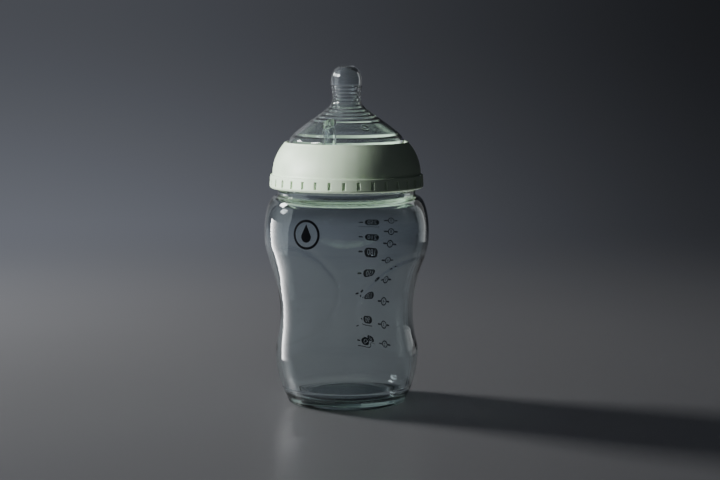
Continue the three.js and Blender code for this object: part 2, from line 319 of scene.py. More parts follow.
def thread_height(angle, z, z0, start, turn):
    """Share of the full ridge height at each angle and height, for a right-hand helix."""
    share = np.zeros(np.broadcast(angle, z).shape)
    base = np.degrees(angle) % 360
    for lap in range(math.ceil((start + turn) / 360) + 1):
        along = base + 360 * lap - start
        inside = (along >= 0) & (along <= turn)
        fade = smooth_step(np.minimum(along, turn - along) / THREAD_FADE)
        centre = z0 + THREAD_LEAD * (along + start) / 360
        slope = THREAD_ROOT_HALF - THREAD_CREST_HALF
        ridge = smooth_step((THREAD_ROOT_HALF - np.abs(z - centre)) / slope)
        share = np.where(inside, np.maximum(share, ridge * fade), share)
    return share


# ---------------------------------------------------------------- meshes

def new_object(name, vertices, faces):
    mesh = bpy.data.meshes.new(name)
    mesh.from_pydata([tuple(v) for v in np.asarray(vertices) * MM], [], faces)
    mesh.update()
    mesh.shade_smooth()
    obj = bpy.data.objects.new(name, mesh)
    bpy.context.scene.collection.objects.link(obj)
    return obj


def turned(name, profile, angles, shape=None):
    """A profile turned about Z. It starts and ends on the axis, or else closes on itself.
    shape(r, z, angle) moves the surface's points and works on whole arrays."""
    profile = np.array(profile, float)
    on_axis = profile[0, 0] == 0 and profile[-1, 0] == 0
    ends = profile[[0, -1], 1]
    if on_axis:
        profile = profile[1:-1]
    r = np.repeat(profile[:, 0:1], len(angles), 1)
    z = np.repeat(profile[:, 1:2], len(angles), 1)
    a = np.repeat(np.array(angles)[None, :], len(profile), 0)
    if shape:
        r, z = shape(r, z, a)
    points = np.stack((r * np.cos(a), r * np.sin(a), z), -1).reshape(-1, 3)
    rows, steps = r.shape
    faces = []
    for i in range(rows if not on_axis else rows - 1):
        this, up = i * steps, (i + 1) % rows * steps
        for k in range(steps):
            n = (k + 1) % steps
            faces.append((this + k, this + n, up + n, up + k))
    if on_axis:
        first, last = len(points), len(points) + 1
        points = np.vstack((points, ((0, 0, ends[0]), (0, 0, ends[1]))))
        top = (rows - 1) * steps
        for k in range(steps):
            n = (k + 1) % steps
            faces.append((first, n, k))
            faces.append((last, top + k, top + n))
    return new_object(name, points, faces)


def full_turn(steps):
    return np.linspace(0, 2 * math.pi, steps, endpoint=False)


def keep_edges(obj):
    """Shading follows the large faces beside each small fillet."""
    modifier = obj.modifiers.new("weighted", "WEIGHTED_NORMAL")
    modifier.weight = 50
    modifier.keep_sharp = True


def combine(target, operation, tools):
    """Joins tools to target or cuts them from it, and deletes the tools."""
    for tool in tools:
        modifier = target.modifiers.new(tool.name, "BOOLEAN")
        modifier.operation = operation
        modifier.solver = "MANIFOLD"
        modifier.object = tool
    bpy.context.view_layer.update()
    evaluated = target.evaluated_get(bpy.context.evaluated_depsgraph_get())
    mesh = bpy.data.meshes.new_from_object(evaluated)
    target.modifiers.clear()
    target.data = mesh
    for tool in tools:
        bpy.data.objects.remove(tool)


# ---------------------------------------------------------------- glass

def outer_surface(r, z, a):
    """Shape of the glass outside: grips, mould seams, stippled foot and neck thread."""
    body = (z > HEEL_HEIGHT / 2) & (z < SHOULDER_TOP_Z) & (r > LAND_OUTER)
    grip = grip_radius(a, z)
    past = np.maximum(r - grip, 0)
    groove = GROOVE_DEPTH * smooth_step(past / GROOVE_RISE) * np.exp(-past / GROOVE_FADE)
    pressed = soft_min(r, grip, GRIP_CREASE) - groove
    around = np.abs(np.sin(a)) * r
    seam = SEAM_HEIGHT * np.exp(-((around / SEAM_WIDTH) ** 2))
    r = np.where(body, pressed + seam, r)
    foot = smooth_step((r - LAND_INNER + LAND_EDGE) / LAND_EDGE)
    foot = foot * smooth_step((LAND_OUTER + STIPPLE_OUTWARD - r) / STIPPLE_OUTWARD)
    dimple = 0.5 - 0.5 * np.cos(STIPPLE_COUNT * a)
    z = np.where(z < HEEL_HEIGHT, z + STIPPLE_DEPTH * foot * dimple, z)
    finish = (z > NECK_COLLAR_Z + COLLAR_EDGE) & (z < RIM_Z - COLLAR_EDGE)
    ridge = thread_height(a, z, GLASS_THREAD_Z, 0, GLASS_THREAD_TURN)
    crest = FINISH_RADIUS + (GLASS_THREAD_CREST - FINISH_RADIUS) * ridge
    r = np.where(finish, np.maximum(r, crest), r)
    return r, z


def inner_surface(r, z, a):
    """Shape of the glass inside: the grips, softened, and the slight waves of blown glass."""
    pressed = soft_min(r, grip_radius(a, z) - WALL, INNER_CREASE)
    wave = np.sin(2 * a + z / 9) + np.sin(3 * a - z / 13 + 1) + 0.6 * np.sin(5 * a + z / 5 + 2)
    faded = smooth_step((z - FLOOR_CORNER_Z) / WAVE_FADE_LOW)
    faded = faded * smooth_step((INNER_SHOULDER_TOP_Z - z) / WAVE_FADE_HIGH)
    return np.where(z < INNER_SHOULDER_TOP_Z, pressed + GLASS_WAVE * wave * faded, r), z


def glass_bottle():
    heel_top = body_radius(HEEL_HEIGHT)
    underside = spaced([(0, PUNT_HEIGHT), (PUNT_RADIUS - 1, PUNT_HEIGHT)], 4)
    foot = rounded([
        (PUNT_RADIUS - 1, PUNT_HEIGHT, 0),
        (PUNT_RADIUS, PUNT_HEIGHT, 0.8),
        (LAND_INNER, 0, 0.8),
        (LAND_OUTER, 0, 0),
    ], 4)
    foot = spaced(foot, 0.5)
    heel = arc(LAND_OUTER, HEEL_HEIGHT, heel_top - LAND_OUTER, HEEL_HEIGHT, -90, 0, 10)
    heights = np.linspace(HEEL_HEIGHT, SHOULDER_Z, round(SHOULDER_Z / BODY_ROW))
    body = [(body_radius(z), z) for z in heights]
    shoulder = arc(SHOULDER_TOP_RADIUS, SHOULDER_Z, SHOULDER_RADIUS - SHOULDER_TOP_RADIUS,
                   SHOULDER_TOP_Z - SHOULDER_Z, 0, 90, 26)
    neck = arc(SHOULDER_TOP_RADIUS, SHOULDER_TOP_Z + NECK_FILLET, SHOULDER_TOP_RADIUS - NECK_RADIUS,
               NECK_FILLET, -90, -180, 5)
    collar = rounded([
        (NECK_RADIUS, SHOULDER_TOP_Z + NECK_FILLET, 0),
        (NECK_RADIUS, NECK_COLLAR_Z, 1.0),
        (FINISH_RADIUS, NECK_COLLAR_Z, 0.5),
        (FINISH_RADIUS, RIM_Z - RIM_ROUND, 0),
    ], 4)
    rim = arc(RIM_OUTER, RIM_Z - RIM_ROUND, FINISH_RADIUS - RIM_OUTER, RIM_ROUND, 0, 90, 5)
    outside = underside + foot[1:] + heel[1:] + body[1:] + shoulder[1:] + neck[1:]
    outside += spaced(collar[:-1], 1.2)[1:]
    outside += spaced([collar[-2], collar[-1]], FINISH_ROW)[1:] + rim[1:]

    corner_top = body_radius(FLOOR_CORNER_Z) - WALL
    top_radius = MOUTH_RADIUS + MOUTH_FILLET
    widest = SHOULDER_RADIUS - WALL
    inside = arc(RIM_INNER, RIM_Z - RIM_ROUND, RIM_INNER - MOUTH_RADIUS, RIM_ROUND, 90, 180, 4)
    inside += spaced([inside[-1], (MOUTH_RADIUS, INNER_SHOULDER_TOP_Z + MOUTH_FILLET)], 5)[1:]
    inside += arc(top_radius, INNER_SHOULDER_TOP_Z + MOUTH_FILLET, MOUTH_FILLET, MOUTH_FILLET,
                  180, 270, 10)[1:]
    inside += arc(top_radius, SHOULDER_Z, widest - top_radius,
                  INNER_SHOULDER_TOP_Z - SHOULDER_Z, 90, 0, 22)[1:]
    rows = np.linspace(SHOULDER_Z, FLOOR_CORNER_Z, INNER_ROWS)
    inside += [(body_radius(z) - WALL, z) for z in rows][1:]
    inside += arc(FLOOR_RADIUS, FLOOR_CORNER_Z, corner_top - FLOOR_RADIUS,
                  FLOOR_CORNER_Z - FLOOR_Z, 0, -88, 14)[1:]
    disc = FLOOR_Z + FLOOR_DISC_HEIGHT
    inside += rounded([
        (*inside[-1], 0),
        (FLOOR_RADIUS, FLOOR_Z, 0.3),
        (FLOOR_DISC_RADIUS, disc, 0.3),
        (0, disc, 0),
    ], 3)[1:-1]
    inside += spaced([inside[-1], (0, disc)], 5)[1:]

    split = len(outside)

    def shape(r, z, a):
        r1, z1 = outer_surface(r[:split - 1], z[:split - 1], a[:split - 1])
        r2, z2 = inner_surface(r[split - 1:], z[split - 1:], a[split - 1:])
        return np.vstack((r1, r2)), np.vstack((z1, z2))

    obj = turned("glass_body", outside + inside, full_turn(GLASS_STEPS), shape)
    keep_edges(obj)
    return obj


# ---------------------------------------------------------------- screw ring

def dome_radius(z, inset):
    return DOME_CENTRE_RADIUS + math.sqrt((DOME_ARC - inset) ** 2 - (z - BAND_TOP_Z) ** 2)


def slot_angles():
    """Angles of the ring's columns, close together at the edges of each slot."""
    pitch = 2 * math.pi * BAND_BOTTOM_RADIUS / SLOT_COUNT
    half = SLOT_WIDTH / 2
    across = [0, half / 2]
    across += [half + k * SLOT_EDGE for k in EDGE_STEPS]
    across += [(half + pitch / 2) / 2 + 0.1]
    offsets = sorted({-x for x in across} | set(across) | {pitch / 2})
    return np.array([
        (x / BAND_BOTTOM_RADIUS + 2 * math.pi * k / SLOT_COUNT)
        for k in range(SLOT_COUNT)
        for x in offsets
    ])


def ring_outer(r, z, a):
    """The grip slots round the band, with soft edges."""
    pitch = 2 * math.pi / SLOT_COUNT
    around = np.abs((a + pitch / 2) % pitch - pitch / 2) * BAND_BOTTOM_RADIUS
    wide = smooth_step((SLOT_WIDTH / 2 + SLOT_EDGE - around) / (2 * SLOT_EDGE))
    tall = smooth_step((SLOT_HEIGHT / 2 + SLOT_EDGE - np.abs(z - SLOT_Z)) / (2 * SLOT_EDGE))
    return r - SLOT_DEPTH * wide * tall, z


def ring_inner(r, z, a):
    """The thread inside the ring."""
    ridge = thread_height(a, z, GLASS_THREAD_Z - RING_THREAD_DROP, RING_THREAD_START, RING_THREAD_TURN)
    wall = (z > RING_BOTTOM_Z + RING_LEAD_IN / 2) & (z < RING_BORE_TOP_Z)
    crest = RING_BORE - (RING_BORE - RING_THREAD_CREST) * ridge
    return np.where(wall, np.minimum(r, crest), r), z


def screw_ring():
    flange_top = FLANGE_BOTTOM_Z + FLANGE_THICKNESS + FIT_GAP
    band = rounded([
        (RING_BORE + RING_LEAD_IN, RING_BOTTOM_Z, 0),
        (BAND_BOTTOM_RADIUS, RING_BOTTOM_Z, BAND_EDGE),
        (BAND_TOP_RADIUS, BAND_TOP_Z, 0.35),
        (dome_radius(BAND_TOP_Z, 0) - 0.25, BAND_TOP_Z, 0),
    ], 6)
    lower = SLOT_Z - SLOT_HEIGHT / 2
    upper = SLOT_Z + SLOT_HEIGHT / 2
    rows = list(np.linspace(lower + 0.6, upper - 0.6, 4))
    for step in EDGE_STEPS:
        rows += [lower + step * SLOT_EDGE, upper + step * SLOT_EDGE]
    rows = [z for z in sorted(rows) if band[7][1] < z < band[8][1]]
    taper = (BAND_TOP_RADIUS - BAND_BOTTOM_RADIUS) / (BAND_TOP_Z - RING_BOTTOM_Z)
    middle = [(BAND_BOTTOM_RADIUS + taper * (z - RING_BOTTOM_Z), z) for z in rows]
    groove = arc(dome_radius(BAND_TOP_Z, 0), BAND_TOP_Z + 0.1, 0.25, 0.25, -160, -10, 4)
    dome = [(dome_radius(z, 0), z) for z in np.linspace(BAND_TOP_Z + 0.3, LIP_Z - LIP_ROUND, 26)]
    outer_lip = dome_radius(LIP_Z - LIP_ROUND, 0)
    lip = arc(outer_lip - LIP_ROUND, LIP_Z - LIP_ROUND, LIP_ROUND, LIP_ROUND, 15, 90, 4)
    lip += arc(LIP_RADIUS + LIP_ROUND, LIP_Z - LIP_ROUND, LIP_ROUND, LIP_ROUND, 90, 180, 4)
    outside = band[:8] + middle + band[8:-1] + groove + dome + lip

    inside = rounded([
        (*outside[-1], 0),
        (LIP_RADIUS, LIP_UNDER_Z, 0.4),
        (dome_radius(LIP_UNDER_Z, RING_WALL), LIP_UNDER_Z, 0),
    ], 4)[1:]
    inside += [(dome_radius(z, RING_WALL), z) for z in np.linspace(LIP_UNDER_Z, PRESS_TOP_Z, 4)][1:]
    inside += rounded([
        (*inside[-1], 0),
        (PRESS_RADIUS, flange_top + PRESS_HEIGHT, 0.3),
        (PRESS_RADIUS, flange_top, 0.25),
        (dome_radius(flange_top, RING_WALL), flange_top, 0.25),
        (dome_radius(RING_BORE_TOP_Z + 2, RING_WALL), RING_BORE_TOP_Z + 2, 0),
    ], 3)[1:]
    rows = np.linspace(RING_BORE_TOP_Z + 2, RING_BORE_TOP_Z, 3)
    inside += [(dome_radius(z, RING_WALL), z) for z in rows][1:]
    inside += spaced([(RING_BORE, RING_BORE_TOP_Z), (RING_BORE, RING_BOTTOM_Z + RING_LEAD_IN)], 0.3)

    split = len(outside)

    def shape(r, z, a):
        r1, z1 = ring_outer(r[:split], z[:split], a[:split])
        r2, z2 = ring_inner(r[split:], z[split:], a[split:])
        return np.vstack((r1, r2)), np.vstack((z1, z2))

    obj = turned("screw_ring_shell", outside + inside, slot_angles(), shape)
    keep_edges(obj)
    return obj


# ---------------------------------------------------------------- teat

def teat_curve():
    """Outline of the teat above the ring's opening, as a smooth curve through its stations."""
    stations = np.array([
        (SKIRT_RADIUS, SKIRT_TOP_Z),
        (26.6, 124.9),
        (23.6, 128.3),
        (16.6, 133.6),
        (10.8, 137.6),
        (7.4, 141),
        (6.7, 144.4),
        (6.9, 147.6),
        (7.4, 151),
        (7.1, 154.3),
        (5.6, 157.2),
        (TIP_FLAT, TIP_Z),
    ])
    last = len(stations) - 1
    points = []
    for i in range(last):
        p0, p1, p2, p3 = (stations[min(max(k, 0), last)] for k in (i - 1, i, i + 1, i + 2))
        v0, v1 = (p2 - p0) / 2, (p3 - p1) / 2
        for t in np.linspace(0, 1, 13)[: 13 if i == last - 1 else 12]:
            points.append(
                (2 * p1 - 2 * p2 + v0 + v1) * t**3 + (-3 * p1 + 3 * p2 - 2 * v0 - v1) * t**2 + v0 * t + p1
            )
    return np.array(points)


def teat_inside(curve):
    """The curve moved in by the wall, with ribs across the waist."""
    along = np.gradient(curve, axis=0)
    along /= np.linalg.norm(along, axis=1)[:, None]
    z = curve[:, 1]
    rib_bottom = RIB_TOP_Z - RIB_COUNT * RIB_PITCH
    ribbed = smooth_step((z - rib_bottom) / 0.3) * smooth_step((RIB_TOP_Z - z) / 0.3)
    phase = 2 * math.pi * (z - rib_bottom) / RIB_PITCH
    wall = TEAT_WALL + RIB_HEIGHT * ribbed * (0.5 - 0.5 * np.cos(phase)) ** 1.5
    wall += STEP_HEIGHT * np.exp(-(((z - STEP_Z) / STEP_WIDTH) ** 2))
    moved = curve + np.stack((-along[:, 1], along[:, 0]), 1) * wall[:, None]
    return [tuple(p) for p in moved if p[0] > 0.6 and p[1] < TIP_Z - TEAT_WALL - 0.05]


def refined(curve, gap):
    """Points at equal distances along the curve."""
    steps = np.linalg.norm(np.diff(curve, axis=0), axis=1)
    along = np.concatenate(([0], np.cumsum(steps)))
    at = np.linspace(0, along[-1], math.ceil(along[-1] / gap))
    return np.stack((np.interp(at, along, curve[:, 0]), np.interp(at, along, curve[:, 1])), 1)


def teat_shell(curve):
    """The teat without its valve and marks, turned from its outside curve."""
    flange_top = FLANGE_BOTTOM_Z + FLANGE_THICKNESS
    inside = teat_inside(curve)[6:]
    profile = [(0, inside[-1][1])]
    profile += inside[::-1]
    profile += rounded([
        (*inside[0], 0),
        (FLANGE_INNER, flange_top + 1.5, 2),
        (FLANGE_INNER, FLANGE_BOTTOM_Z, 0.4),
        (FLANGE_RADIUS, FLANGE_BOTTOM_Z, 0.5),
        (FLANGE_RADIUS, flange_top, 0.5),
        (SKIRT_RADIUS, flange_top, SKIRT_FILLET),
        (SKIRT_RADIUS, SKIRT_TOP_Z, 0),
    ], 5)[1:-1]
    profile += [tuple(p) for p in curve[:-2]]
    profile += rounded([
        (*curve[-3], 0),
        (TIP_FLAT, TIP_Z, 0.6),
        (TIP_DIMPLE + 0.1, TIP_Z, 0.15),
        (TIP_DIMPLE, TIP_Z - TIP_DIMPLE_DEPTH, 0),
    ], 4)[1:]
    profile += [(0, TIP_Z - TIP_DIMPLE_DEPTH)]
    return turned("teat_shell", profile, full_turn(TEAT_STEPS))


def tube(name, radius, low, top_of, centre=(0, -VALVE_OFFSET), steps=48):
    """A closed upright cylinder; top_of gives the height of its top at a distance from Z."""
    angles = full_turn(steps)
    rings = [(radius - 0.5, low), (radius - 0.15, low + 0.1), (radius, low + 0.5)]
    if radius < 1:
        rings = [(radius, low)]
    points = [(centre[0], centre[1], low)]
    for r, z in rings:
        points += [(centre[0] + r * math.cos(t), centre[1] + r * math.sin(t), z) for t in angles]
    for share in (1, 0.75, 0.5, 0.25):
        for t in angles:
            x, y = centre[0] + share * radius * math.cos(t), centre[1] + share * radius * math.sin(t)
            points.append((x, y, top_of(math.hypot(x, y))))
    points.append((*centre, top_of(math.hypot(*centre))))
    count = len(rings) + 4
    faces = []
    for k in range(steps):
        n = (k + 1) % steps
        faces.append((0, 1 + n, 1 + k))
        for row in range(count - 1):
            a, b = 1 + row * steps, 1 + (row + 1) * steps
            faces.append((a + k, a + n, b + n, b + k))
        top = 1 + (count - 1) * steps
        faces.append((top + k, top + n, len(points) - 1))
    return new_object(name, points, faces)


def bead(name, radius, thickness, place, outward):
    """A small closed ring laid on a surface at place, facing outward."""
    big, small = full_turn(40), full_turn(12)
    points = [
        ((radius + thickness * math.cos(b)) * math.cos(a), (radius + thickness * math.cos(b)) * math.sin(a),
         thickness * math.sin(b))
        for a in big
        for b in small
    ]
    faces = []
    for i in range(len(big)):
        for k in range(len(small)):
            i2, k2 = (i + 1) % len(big), (k + 1) % len(small)
            faces.append([p * len(small) + q for p, q in ((i, k), (i2, k), (i2, k2), (i, k2))])
    turn = Vector(outward).to_track_quat("Z", "Y").to_matrix()
    points = [turn @ Vector(p) + Vector(place) for p in points]
    return new_object(name, points, faces)


def dot(name, radius, place, outward):
    """A low rounded pip."""
    mesh = bmesh.new()
    bmesh.ops.create_icosphere(mesh, subdivisions=3, radius=radius)
    turn = Vector(outward).to_track_quat("Z", "Y").to_matrix()
    points = [turn @ Vector((v.co.x, v.co.y, v.co.z * 0.5)) + Vector(place) for v in mesh.verts]
    faces = [[v.index for v in f.verts] for f in mesh.faces]
    mesh.free()
    return new_object(name, points, faces)


def teat():
    curve = refined(teat_curve(), CURVE_GAP)
    shell = teat_shell(curve)
    middle = np.array(teat_inside(curve))
    order = np.argsort(middle[:, 0])

    def wall_middle(distance):
        outside = np.interp(distance, curve[::-1, 0], curve[::-1, 1])
        inside = np.interp(distance, middle[order, 0], middle[order, 1])
        return (outside + inside) / 2

    valve = tube("valve", VALVE_RADIUS, VALVE_BOTTOM_Z, wall_middle)
    front = -VALVE_OFFSET - VALVE_RADIUS
    eyelet = bead("eyelet", EYELET_RADIUS, EYELET_BEAD, (0, front + 0.1, EYELET_Z), (0, -1, 0))
    angle = math.radians(FLOW_MARK_ANGLE)
    row = int(np.argmin(np.abs(curve[:, 1] - FLOW_MARK_Z)))
    tangent = curve[row + 1] - curve[row - 1]
    flat = Vector((math.cos(angle), math.sin(angle), 0))
    outward = flat * tangent[1] + Vector((0, 0, -tangent[0]))
    place = flat * curve[row, 0] + Vector((0, 0, curve[row, 1]))
    flow_ring = bead("flow_ring", FLOW_MARK_RADIUS, FLOW_MARK_BEAD, place, outward)
    flow_dot = dot("flow_dot", FLOW_DOT_RADIUS, place, outward)
    combine(shell, "UNION", [valve, eyelet, flow_ring, flow_dot])
    bore = tube("bore", VALVE_BORE, VALVE_BOTTOM_Z + VALVE_END, lambda d: VALVE_BORE_TOP_Z)
    vent = tube("vent", VENT_RADIUS, VALVE_BORE_TOP_Z - 1, lambda d: TIP_Z, steps=20)
    combine(shell, "DIFFERENCE", [bore, vent])
    shell.name = shell.data.name = "teat_moulding"
    shell.data.shade_smooth()
    shell.data.set_sharp_from_angle(angle=math.radians(38))
    return shell


# ---------------------------------------------------------------- printing

def capsule(u, z, width, height, steps=8):
    """A rounded bar with half-round ends."""
    radius = min(width, height) / 2
    across, up = width / 2 - radius, height / 2 - radius
    points = []
    for corner, (sx, sz) in enumerate(((1, 1), (-1, 1), (-1, -1), (1, -1))):
        for k in range(steps + 1):
            t = math.pi / 2 * (corner + k / steps)
            points.append((u + sx * across + radius * math.cos(t), z + sz * up + radius * math.sin(t)))
    return points


def ellipse(u, z, width, height, steps=32):
    return [(u + width / 2 * math.cos(t), z + height / 2 * math.sin(t)) for t in full_turn(steps)]


def digits(text, u, z, height):
    """Outlines of a number, centred on (u, z)."""
    curve = bpy.data.curves.new("digits", "FONT")
    curve.body = text
    curve.align_x = "CENTER"
    curve.offset = 0.035
    holder = bpy.data.objects.new("digits", curve)
    bpy.context.scene.collection.objects.link(holder)
    with bpy.context.temp_override(active_object=holder, object=holder, selected_objects=[holder],
                                   selected_editable_objects=[holder]):
        bpy.ops.object.convert(target="CURVE")
    outlines = []
    for spline in holder.data.splines:
        points = []
        knots = spline.bezier_points
        for a, b in zip(knots, list(knots[1:]) + [knots[0]]):
            for t in (0, 0.25, 0.5, 0.75):
                s = 1 - t
                p = a.co * s**3 + b.co * t**3
                p += (a.handle_right * s + b.handle_left * t) * 3 * s * t
                points.append((p.x, p.y))
        outlines.append(np.array(points))
    bpy.data.objects.remove(holder)
    every = np.vstack(outlines)
    low, high = every.min(0), every.max(0)
    scale = height / (high[1] - low[1])
    middle = (low + high) / 2
    return [[tuple(p) for p in (o - middle) * scale + np.array((u, z))] for o in outlines]


def printed(name, groups, wrap, cut=1.0):
    """Thin solids on the glass. Each group is filled where an odd number of its outlines cover it."""
    flat = bmesh.new()
    for group in groups:
        curve = bpy.data.curves.new("fill", "CURVE")
        curve.dimensions = "2D"
        curve.fill_mode = "BOTH"
        for points in group:
            spline = curve.splines.new("POLY")
            spline.points.add(len(points) - 1)
            for knot, (u, z) in zip(spline.points, points):
                knot.co = (u, z, 0, 1)
            spline.use_cyclic_u = True
        holder = bpy.data.objects.new("fill", curve)
        bpy.context.scene.collection.objects.link(holder)
        bpy.context.view_layer.update()
        mesh = bpy.data.meshes.new_from_object(holder.evaluated_get(bpy.context.evaluated_depsgraph_get()))
        flat.from_mesh(mesh)
        bpy.data.objects.remove(holder)
        bpy.data.meshes.remove(mesh)
    bmesh.ops.remove_doubles(flat, verts=flat.verts, dist=1e-4)
    for axis in (0, 1):
        values = [v.co[axis] for v in flat.verts]
        for k in range(math.floor(min(values) / cut), math.ceil(max(values) / cut) + 1):
            place, normal = Vector((0, 0, 0)), Vector((0, 0, 0))
            place[axis] = k * cut
            normal[axis] = 1
            bmesh.ops.bisect_plane(flat, geom=flat.verts[:] + flat.edges[:] + flat.faces[:],
                                   plane_co=place, plane_no=normal)
    bmesh.ops.triangulate(flat, faces=flat.faces[:])
    flat.normal_update()
    for face in flat.faces:
        if face.normal.z < 0:
            face.normal_flip()
    flat.verts.index_update()
    count = len(flat.verts)
    where = [(v.co.x, v.co.y) for v in flat.verts]
    points = [wrap(u, z, INK_PROUD) for u, z in where] + [wrap(u, z, -INK_SUNK) for u, z in where]
    faces = []
    for face in flat.faces:
        corners = [v.index for v in face.verts]
        faces.append(corners)
        faces.append([c + count for c in reversed(corners)])
        for loop in face.loops:
            if loop.edge.is_boundary:
                a, b = loop.vert.index, loop.link_loop_next.vert.index
                faces.append((b, a, a + count, b + count))
    flat.free()
    obj = new_object(name, points, faces)
    obj.data.set_sharp_from_angle(angle=math.radians(30))
    return obj


def surface_radius(angle, z):
    """Outer radius of the glass body with its grips."""
    radius = body_radius(z)
    if z > SHOULDER_Z:
        t = (z - SHOULDER_Z) / (SHOULDER_TOP_Z - SHOULDER_Z)
        radius = SHOULDER_TOP_RADIUS + (SHOULDER_RADIUS - SHOULDER_TOP_RADIUS) * math.sqrt(1 - t * t)
    return float(soft_min(radius, grip_radius(angle, z), GRIP_CREASE))


def wrapper(middle):
    """Lays (u, z) on the glass. u is the arc length from the angle called middle, counter-clockwise."""
    def wrap(u, z, lift):
        angle = middle + u / SHOULDER_RADIUS
        radius = surface_radius(angle, z) + lift
        return (radius * math.cos(angle), radius * math.sin(angle), z)
    return wrap


def printed_scale():
    """Millilitres in solid capsules, fluid ounces in small rings, with their dashes."""
    groups = []
    for value, z in ML_HEIGHTS.items():
        text = str(value)
        width = ML_ENDS + ML_DIGIT_WIDTH * len(text)
        middle = ML_MIDDLES[len(text)]
        groups.append([capsule(middle, z, width, ML_HEIGHT)] + digits(text, middle, z, ML_DIGITS))
        dash = middle + width / 2 + ML_DASH_OFFSET
        groups.append([capsule(dash, z, *ML_DASH)])
    volumes, heights = list(ML_HEIGHTS), list(ML_HEIGHTS.values())
    for ounces in OUNCES:
        volume = ounces * OUNCE
        z = float(np.interp(volume, volumes, heights))
        if volume > volumes[-1]:
            slope = (heights[-1] - heights[-2]) / (volumes[-1] - volumes[-2])
            z = heights[-1] + (volume - volumes[-1]) * slope
        if volume < volumes[0]:
            slope = (heights[1] - heights[0]) / (volumes[1] - volumes[0])
            z = heights[0] - (volumes[0] - volume) * slope
        rings = (OUNCE_RING, OUNCE_RING_INNER)
        groups.append([ellipse(OUNCE_OFFSET, z, size, size) for size in rings])
        groups.append(digits(str(ounces), OUNCE_OFFSET, z, OUNCE_DIGITS))
        for side in (1, -1):
            groups.append([capsule(OUNCE_OFFSET + side * OUNCE_DASH_OFFSET, z, *OUNCE_DASH)])
    for k in range(DOT_COUNT):
        u = DOT_START + DOT_PITCH * k
        groups.append([ellipse(u, heights[-1] - DOT_DROP, DOT_SIZE, DOT_SIZE, 10)])
    for z in heights[:2]:
        groups.append([capsule(LINE_MIDDLE, z - LINE_DROP, *LINE_SIZE)])
    return printed("printed_scale", groups, wrapper(math.pi / 2))


def front_mark():
    """A plain drop in a ring."""
    band = [ellipse(0, MARK_Z, size, size, 64) for size in (MARK_SIZE, MARK_SIZE - 2 * MARK_LINE)]
    centre = MARK_Z - DROP_SHIFT
    drop = arc(0, centre, DROP_RADIUS, DROP_RADIUS, -205, 25, 24)
    drop.append((0, centre + DROP_POINT))
    return printed("front_mark", [band, [drop]], wrapper(-math.pi / 2))


# ---------------------------------------------------------------- materials

def new_material(name):
    material = bpy.data.materials.new(name)
    material.use_nodes = True
    nodes, links = material.node_tree.nodes, material.node_tree.links
    return material, nodes, links, nodes["Principled BSDF"]


def position(nodes):
    return nodes.new("ShaderNodeTexCoord").outputs["Object"]


def noise(nodes, links, scale, detail=3, roughness=0.5):
    node = nodes.new("ShaderNodeTexNoise")
    node.inputs["Scale"].default_value = scale
    node.inputs["Detail"].default_value = detail
    node.inputs["Roughness"].default_value = roughness
    links.new(position(nodes), node.inputs["Vector"])
    return node.outputs["Fac"]


def ramp(nodes, links, factor, low, high, start=0.3, end=0.7):
    """Turns a noise value into a number between low and high."""
    node = nodes.new("ShaderNodeMapRange")
    node.inputs["From Min"].default_value = start
    node.inputs["From Max"].default_value = end
    node.inputs["To Min"].default_value = low
    node.inputs["To Max"].default_value = high
    links.new(factor, node.inputs["Value"])
    return node.outputs["Result"]


def mixed_colour(nodes, links, factor, first, second):
    node = nodes.new("ShaderNodeMix")
    node.data_type = "RGBA"
    node.inputs["A"].default_value = (*first, 1)
    node.inputs["B"].default_value = (*second, 1)
    links.new(factor, node.inputs["Factor"])
    return node.outputs["Result"]


def bump(nodes, links, height, strength, distance, surface):
    node = nodes.new("ShaderNodeBump")
    node.inputs["Strength"].default_value = strength
    node.inputs["Distance"].default_value = distance
    links.new(height, node.inputs["Height"])
    links.new(node.outputs["Normal"], surface.inputs["Normal"])


def absorb(nodes, links, colour, density):
    """Tints the light that crosses the inside of a clear solid."""
    volume = nodes.new("ShaderNodeVolumeAbsorption")
    volume.inputs["Color"].default_value = colour
    volume.inputs["Density"].default_value = density
    links.new(volume.outputs["Volume"], nodes["Material Output"].inputs["Volume"])


def glass_material():
    """Clear soda-lime glass with a faint green in long paths."""
    material, nodes, links, surface = new_material("clear_glass")
    surface.inputs["Base Color"].default_value = (0.93, 0.98, 1.0, 1)
    surface.inputs["Transmission Weight"].default_value = 1
    surface.inputs["IOR"].default_value = 1.5
    links.new(ramp(nodes, links, noise(nodes, links, 45), 0.0, 0.02), surface.inputs["Roughness"])
    bump(nodes, links, noise(nodes, links, 70, 2), 0.05, 0.0005, surface)
    absorb(nodes, links, (0.55, 0.86, 0.74, 1), 16)
    return material


def plastic_material():
    """Pale sage polypropylene with a satin, finely textured skin."""
    material, nodes, links, surface = new_material("ring_plastic")
    colour = mixed_colour(nodes, links, ramp(nodes, links, noise(nodes, links, 90, 4), 0, 1),
                          (0.56, 0.70, 0.515), (0.60, 0.735, 0.555))
    links.new(colour, surface.inputs["Base Color"])
    links.new(ramp(nodes, links, noise(nodes, links, 260, 3), 0.36, 0.46), surface.inputs["Roughness"])
    surface.inputs["Subsurface Weight"].default_value = 0.15
    surface.inputs["Subsurface Radius"].default_value = (0.002, 0.0025, 0.0015)
    surface.inputs["IOR"].default_value = 1.49
    bump(nodes, links, noise(nodes, links, 2600, 2), 0.12, 0.00005, surface)
    return material


